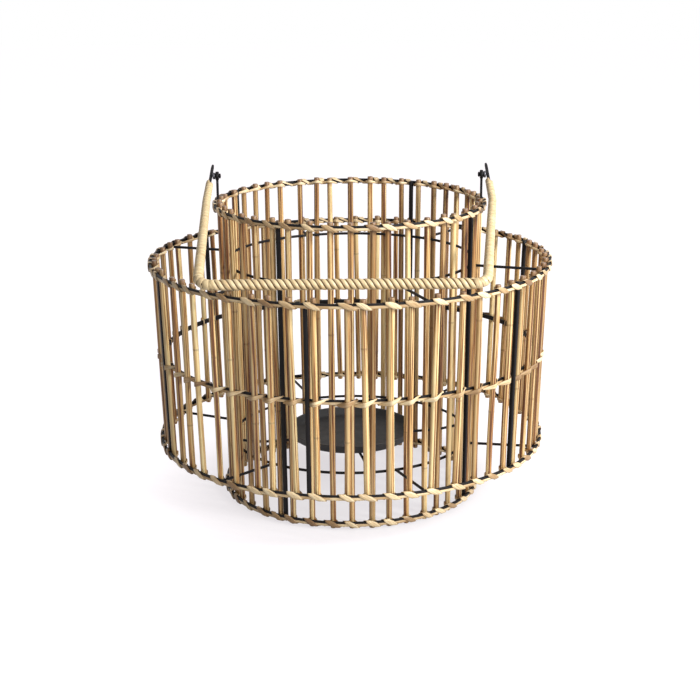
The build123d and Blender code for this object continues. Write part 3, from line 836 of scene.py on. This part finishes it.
# Pivot pins and bushes. Each pin has a rounded head inside the eye and carries a dull grey
# metal bush between the eye and the handle's wire.
PIN, HEAD, HEAD_LONG, PLAY = 0.0013, 0.0024, 0.0015, 0.00045
BUSH, BUSH_LONG, BUSH_SOFT, BAIL = 0.0032, 0.0022, 0.0005, 0.0015
BUSH_START = POST_X + EYE_WIDE / 2 + PLAY
BAIL_X = BUSH_START + BUSH_LONG + SEAT + BAIL
bush_grey, bush_tree, bush_shader = new_finish("bush_grey")
bush_place = bush_tree.nodes.new("ShaderNodeTexCoord").outputs["Object"]
bush_cloud = noise(bush_tree, bush_place, 700.0, 4.0, 0.65)
bush_colour = ramp(bush_tree, (0.30, (0.060, 0.060, 0.070)), (0.72, (0.210, 0.205, 0.225)))
bush_shader.inputs["Metallic"].default_value = 0.85
join(bush_tree, (bush_cloud, bush_colour.inputs["Fac"]))
coat(bush_tree, bush_shader, bush_colour.outputs["Color"], spread(bush_tree, bush_cloud, 0.34, 0.58))
dent(bush_tree, bush_shader, bush_cloud, 0.3, 0.0002)

head_x = POST_X - EYE_WIDE / 2 - PLAY - HEAD_LONG
pin_end = BAIL_X - BAIL - head_x
pin_section = [
    (0.0, 0.00001), (0.0, HEAD * 0.55), (0.0003, HEAD * 0.90), (0.0007, HEAD), (HEAD_LONG, HEAD * 0.96),
    (HEAD_LONG, PIN), (pin_end, PIN), (pin_end, 0.00001),
]
bush_section = [
    (0.0, PIN + SEAT), (BUSH_LONG, PIN + SEAT), (BUSH_LONG, BUSH - BUSH_SOFT),
    (BUSH_LONG - BUSH_SOFT, BUSH), (BUSH_SOFT, BUSH), (0.0, BUSH - BUSH_SOFT),
]
for name, hand in (("left", -1), ("right", 1)):
    axis = Vector((hand, 0, 0))
    pin = turned_piece(pin_section, 24, Vector((hand * head_x, 0, PIVOT_Z)), axis)
    bush = turned_piece(bush_section, 28, Vector((hand * BUSH_START, 0, PIVOT_Z)), axis)
    place_iron(name + "_pin", *pin, name + "_pivot_pin", "handle")
    place_piece(name + "_grey_bush", *bush, bush_grey, "handle", "bush", [name + "_bush"])

# Bail wire. One black wire bent to the handle's shape: a loose tail stands past each pivot,
# the arms bow out round the inner rim, and two rounded corners lead into the bar.
REACH, GRIP_Z = 0.1578, 0.23995
DROP = math.atan2(PIVOT_Z - GRIP_Z, REACH)
ARM = math.hypot(REACH, PIVOT_Z - GRIP_Z)
LEFT, RIGHT = -0.1295, 0.1175
CORNER, TAIL, WRAP_FROM = 0.0120, 0.0185, 0.0130
KNEE, ARM_BOW = 0.0434, 0.0011
KNEE_X = BAIL_X + ARM_BOW


def on_handle(side, down):
    return Vector((side, -down * math.cos(DROP), PIVOT_Z - down * math.sin(DROP)))


lean_in = (KNEE_X - BAIL_X) / KNEE
tail_x, wrap_x = BAIL_X - lean_in * TAIL, BAIL_X + lean_in * WRAP_FROM
bail_line = rounded_line([
    on_handle(-tail_x, -TAIL), on_handle(-KNEE_X, KNEE), on_handle(LEFT, ARM),
    on_handle(RIGHT, ARM), on_handle(KNEE_X, KNEE), on_handle(tail_x, -TAIL),
], CORNER, 0.004)
bail_last = len(bail_line) - 1
bail = wire_run(bail_line, lambda k: BAIL * (0.75 if k in (0, bail_last) else 0.98), sides=12)
place_iron("bent_bail", *bail, "bail_wire", "handle")

# Arm binding. Peel wound close and flat round both arms and their corners, thin at the pivots
# and thicker towards the bar, each turn just lapping the one before.
ARM_THIN, ARM_SWELL = 0.0035, 0.0012
handle_peel, handle_tree, handle_shader = new_finish("handle_peel")
paint_peel(handle_tree, handle_shader, (0.430, 0.270, 0.120, 1.0), (
    (0.28, (0.480, 0.325, 0.150)), (0.45, (0.700, 0.535, 0.295)), (0.70, (0.830, 0.695, 0.440))), 0.45)
plane_up = Vector((0, -math.sin(DROP), math.cos(DROP)))


def wind(line, pitch, starts, size_at, thick, crown, wide_at, tilt, rim, seed, steps):
    # Strips wound round a line that stays in the handle's plane, each turn tilted over the last.
    chance = random.Random(seed)
    lengths = [0.0]
    for a, b in zip(line, line[1:]):
        lengths.append(lengths[-1] + (b - a).length)
    points, faces, marks = new_strips()
    for start in range(starts):
        places, normals, widths, tones = [], [], [], []
        total = int(lengths[-1] / pitch * steps)
        tone, segment = chance.random(), 0
        for k in range(total + 1):
            gone = min(lengths[-1], pitch * k / steps)
            while segment < len(lengths) - 2 and lengths[segment + 1] < gone:
                segment += 1
            part = (gone - lengths[segment]) / (lengths[segment + 1] - lengths[segment])
            middle = line[segment].lerp(line[segment + 1], part)
            along = (line[segment + 1] - line[segment]).normalized()
            spin = math.tau * (k / steps + start / starts)
            out = plane_up * math.cos(spin) + along.cross(plane_up) * math.sin(spin)
            if k % steps == 0:
                tone = 0.3 * tone + 0.7 * chance.uniform(0.42, 0.95)
            places.append(middle + out * (size_at(gone / lengths[-1]) - thick / 2 - crown))
            normals.append(out + along * tilt)
            widths.append(wide_at(gone / lengths[-1]))
            tones.append(tone)
        lay_strip(places, normals, widths, thick, crown, points, faces, marks, tones, seed + start * 0.37)
    # The rim share sets how strongly the strip edges darken, which is partly painted shade between the turns.
    marks["edge"] = [edge * rim for edge in marks["edge"]]
    return points, faces, marks


grip_left, grip_right = LEFT + CORNER * 1.1, RIGHT - CORNER * 1.1
for name, hand, corner, end, pitch, crown, tilt, rim, seed in (
    ("left", -1, LEFT, grip_left, 0.0046, 0.00014, 0.05, 0.88, 5),
    ("right", 1, RIGHT, grip_right, 0.0050, 0.00040, 0.10, 1.0, 7),
):
    arm_line = rounded_line([
        on_handle(hand * wrap_x, WRAP_FROM), on_handle(hand * KNEE_X, KNEE),
        on_handle(corner, ARM), on_handle(end, ARM),
    ], CORNER, 0.002)
    arm_points, arm_faces, arm_marks = wind(
        arm_line, pitch, 1, lambda part: ARM_THIN + ARM_SWELL * part, PEEL_THICK, crown,
        lambda part: pitch * (1.06 + 0.14 * min(1.0, max(0.0, (part - 0.84) / 0.06))), hand * tilt, rim,
        seed, 24)
    place_piece(
        name + "_arm_binding", arm_points, arm_faces, handle_peel, "handle", "handle_binding",
        [name + "_arm_wrap"], arm_marks)

# Grip. A plain sleeve of peel on the bar in the darkest tone, painted shade where it shows between the
# ridges, and over it three broad strips wound side by side into about forty steep slanting ridges with dark
# lines between them.
GRIP, GRIP_LAP, SLEEVE, SLEEVE_LAP = 0.00495, 0.0014, 0.0037, 0.0020
RIDGE_STRIPS, RIDGE_LEAD, RIDGE_WIDE, RIDGE_THICK, RIDGE_CROWN = 3, 0.0160, 0.0040, 0.0007, 0.00064
grip_from, grip_to = grip_left - GRIP_LAP, grip_right + GRIP_LAP
core_line = [on_handle(grip_from + (grip_to - grip_from) * k / 40, ARM) for k in range(41)]
sleeve_line = [on_handle(grip_left - SLEEVE_LAP, ARM), *core_line, on_handle(grip_right + SLEEVE_LAP, ARM)]
core_points, core_faces = wire_run(sleeve_line, SLEEVE, sides=16)
core_marks = {
    "run": [(p.x, p.z, 0.5) for p in core_points],
    "edge": [0.0] * len(core_points),
    # Darkest tone for the whole sleeve: painted shade in the crevices between the ridges.
    "tone": [0.0] * len(core_points),
}
place_piece(
    "grip_sleeve", core_points, core_faces, handle_peel, "handle", "handle_binding", ["grip_core"],
    core_marks)
grip_points, grip_faces, grip_marks = wind(
    core_line, RIDGE_LEAD, RIDGE_STRIPS, lambda part: GRIP, RIDGE_THICK, RIDGE_CROWN,
    lambda part: RIDGE_WIDE, 0.06, 1.0, 13, 32)
place_piece(
    "grip_ridges", grip_points, grip_faces, handle_peel, "handle", "handle_binding", ["grip_winding"],
    grip_marks)

# Floor and backdrop. A plain white sheet under and behind the lantern. It glows a little where
# the camera sees it, less below the lantern, so that a soft shadow is left on it: the lamps' own
# shadow, and painted shade from the dimmer glow below the lantern.
floor_mesh = bpy.data.meshes.new("floor")
floor_mesh.from_pydata([(-6, -6, 0), (6, -6, 0), (6, 6, 0), (-6, 6, 0)], [], [(0, 1, 2, 3)])
floor = bpy.data.objects.new("floor", floor_mesh)
bpy.context.collection.objects.link(floor)
floor_white, floor_tree, floor_shader = new_finish("floor_white")
floor_mesh.materials.append(floor_white)
floor_tree.nodes.remove(floor_shader)
floor_out = floor_tree.nodes["Material Output"]
floor_plain = floor_tree.nodes.new("ShaderNodeBsdfDiffuse")
floor_plain.inputs["Color"].default_value = (0.50, 0.48, 0.47, 1)
floor_shade = floor_tree.nodes.new("ShaderNodeBsdfDiffuse")
floor_shade.inputs["Color"].default_value = (0.24, 0.24, 0.24, 1)
floor_glow = floor_tree.nodes.new("ShaderNodeEmission")
floor_glow.inputs["Color"].default_value = (0.99, 0.955, 0.985, 1)
floor_place = floor_tree.nodes.new("ShaderNodeTexCoord").outputs["Object"]
floor_away = floor_tree.nodes.new("ShaderNodeVectorMath")
floor_away.operation = "LENGTH"
# The glow is dimmer within about 0.2 m of the middle: painted shade on the floor below the lantern.
join(
    floor_tree, (floor_place, floor_away.inputs[0]),
    (spread(floor_tree, floor_away.outputs["Value"], 0.69, 1.0, 0.11, 0.21), floor_glow.inputs["Strength"]))
floor_seen = floor_tree.nodes.new("ShaderNodeAddShader")
floor_mix = floor_tree.nodes.new("ShaderNodeMixShader")


def seen_rays(tree):
    rays = tree.nodes.new("ShaderNodeLightPath")
    either = tree.nodes.new("ShaderNodeMath")
    either.operation = "MAXIMUM"
    third = tree.nodes.new("ShaderNodeMath")
    third.operation = "MAXIMUM"
    join(
        tree, (rays.outputs["Is Camera Ray"], either.inputs[0]),
        (rays.outputs["Is Glossy Ray"], either.inputs[1]),
        (either.outputs[0], third.inputs[0]), (rays.outputs["Is Transmission Ray"], third.inputs[1]))
    return third.outputs[0]


join(
    floor_tree, (floor_shade.outputs[0], floor_seen.inputs[0]), (floor_glow.outputs[0], floor_seen.inputs[1]),
    (seen_rays(floor_tree), floor_mix.inputs[0]), (floor_plain.outputs[0], floor_mix.inputs[1]),
    (floor_seen.outputs[0], floor_mix.inputs[2]), (floor_mix.outputs[0], floor_out.inputs["Surface"]))

# Light. A key close on the right and above, a weaker fill from the front right, and an even
# white surround that is a little warm where it lights the lantern.
studio = bpy.data.worlds.new("studio")
bpy.context.scene.world = studio
studio.use_nodes = True
sky_tree = studio.node_tree
sky = sky_tree.nodes["Background"]
sky_level = sky_tree.nodes.new("ShaderNodeMapRange")
sky_level.inputs["To Min"].default_value = 0.18
sky_level.inputs["To Max"].default_value = 1.0
sky_seen = seen_rays(sky_tree)
sky_colour = tint(sky_tree, "MIX", sky_seen, (1.0, 0.92, 0.87, 1.0), (1.0, 1.0, 1.0, 1.0))
join(
    sky_tree, (sky_seen, sky_level.inputs["Value"]), (sky_level.outputs["Result"], sky.inputs["Strength"]),
    (sky_colour, sky.inputs["Color"]))


def lamp(name, place, aim, size, power):
    light = bpy.data.lights.new(name, "AREA")
    light.size = size
    light.energy = power
    holder = bpy.data.objects.new(name, light)
    holder.location = place
    holder.rotation_euler = (Vector(aim) - Vector(place)).to_track_quat("-Z", "Y").to_euler()
    bpy.context.collection.objects.link(holder)


lamp("key", (1.25, -0.65, 1.00), (0, 0, 0.14), 0.35, 27.0)
lamp("fill", (0.95, -1.45, 0.85), (0, 0, 0.14), 0.6, 19.0)

# Camera. The photograph's own view, from the front and a little above the rims, with the small
# turn and roll that the photograph has.
CAMERA_PLACE, CAMERA_TURN, CAMERA_DIP, CAMERA_ROLL = (0.0041, -1.3592, 0.5259), 0.0034, 0.279, -0.0073
camera = bpy.data.objects.new("camera", bpy.data.cameras.new("camera"))
camera.data.lens = 74.58
camera.data.sensor_width = 36.0
camera.matrix_world = (
    Matrix.Translation(CAMERA_PLACE) @ Matrix.Rotation(CAMERA_TURN, 4, "Z")
    @ Matrix.Rotation(math.pi / 2 - CAMERA_DIP, 4, "X") @ Matrix.Rotation(CAMERA_ROLL, 4, "Z"))
bpy.context.collection.objects.link(camera)
bpy.context.scene.camera = camera
bpy.context.scene.view_settings.view_transform = "Standard"
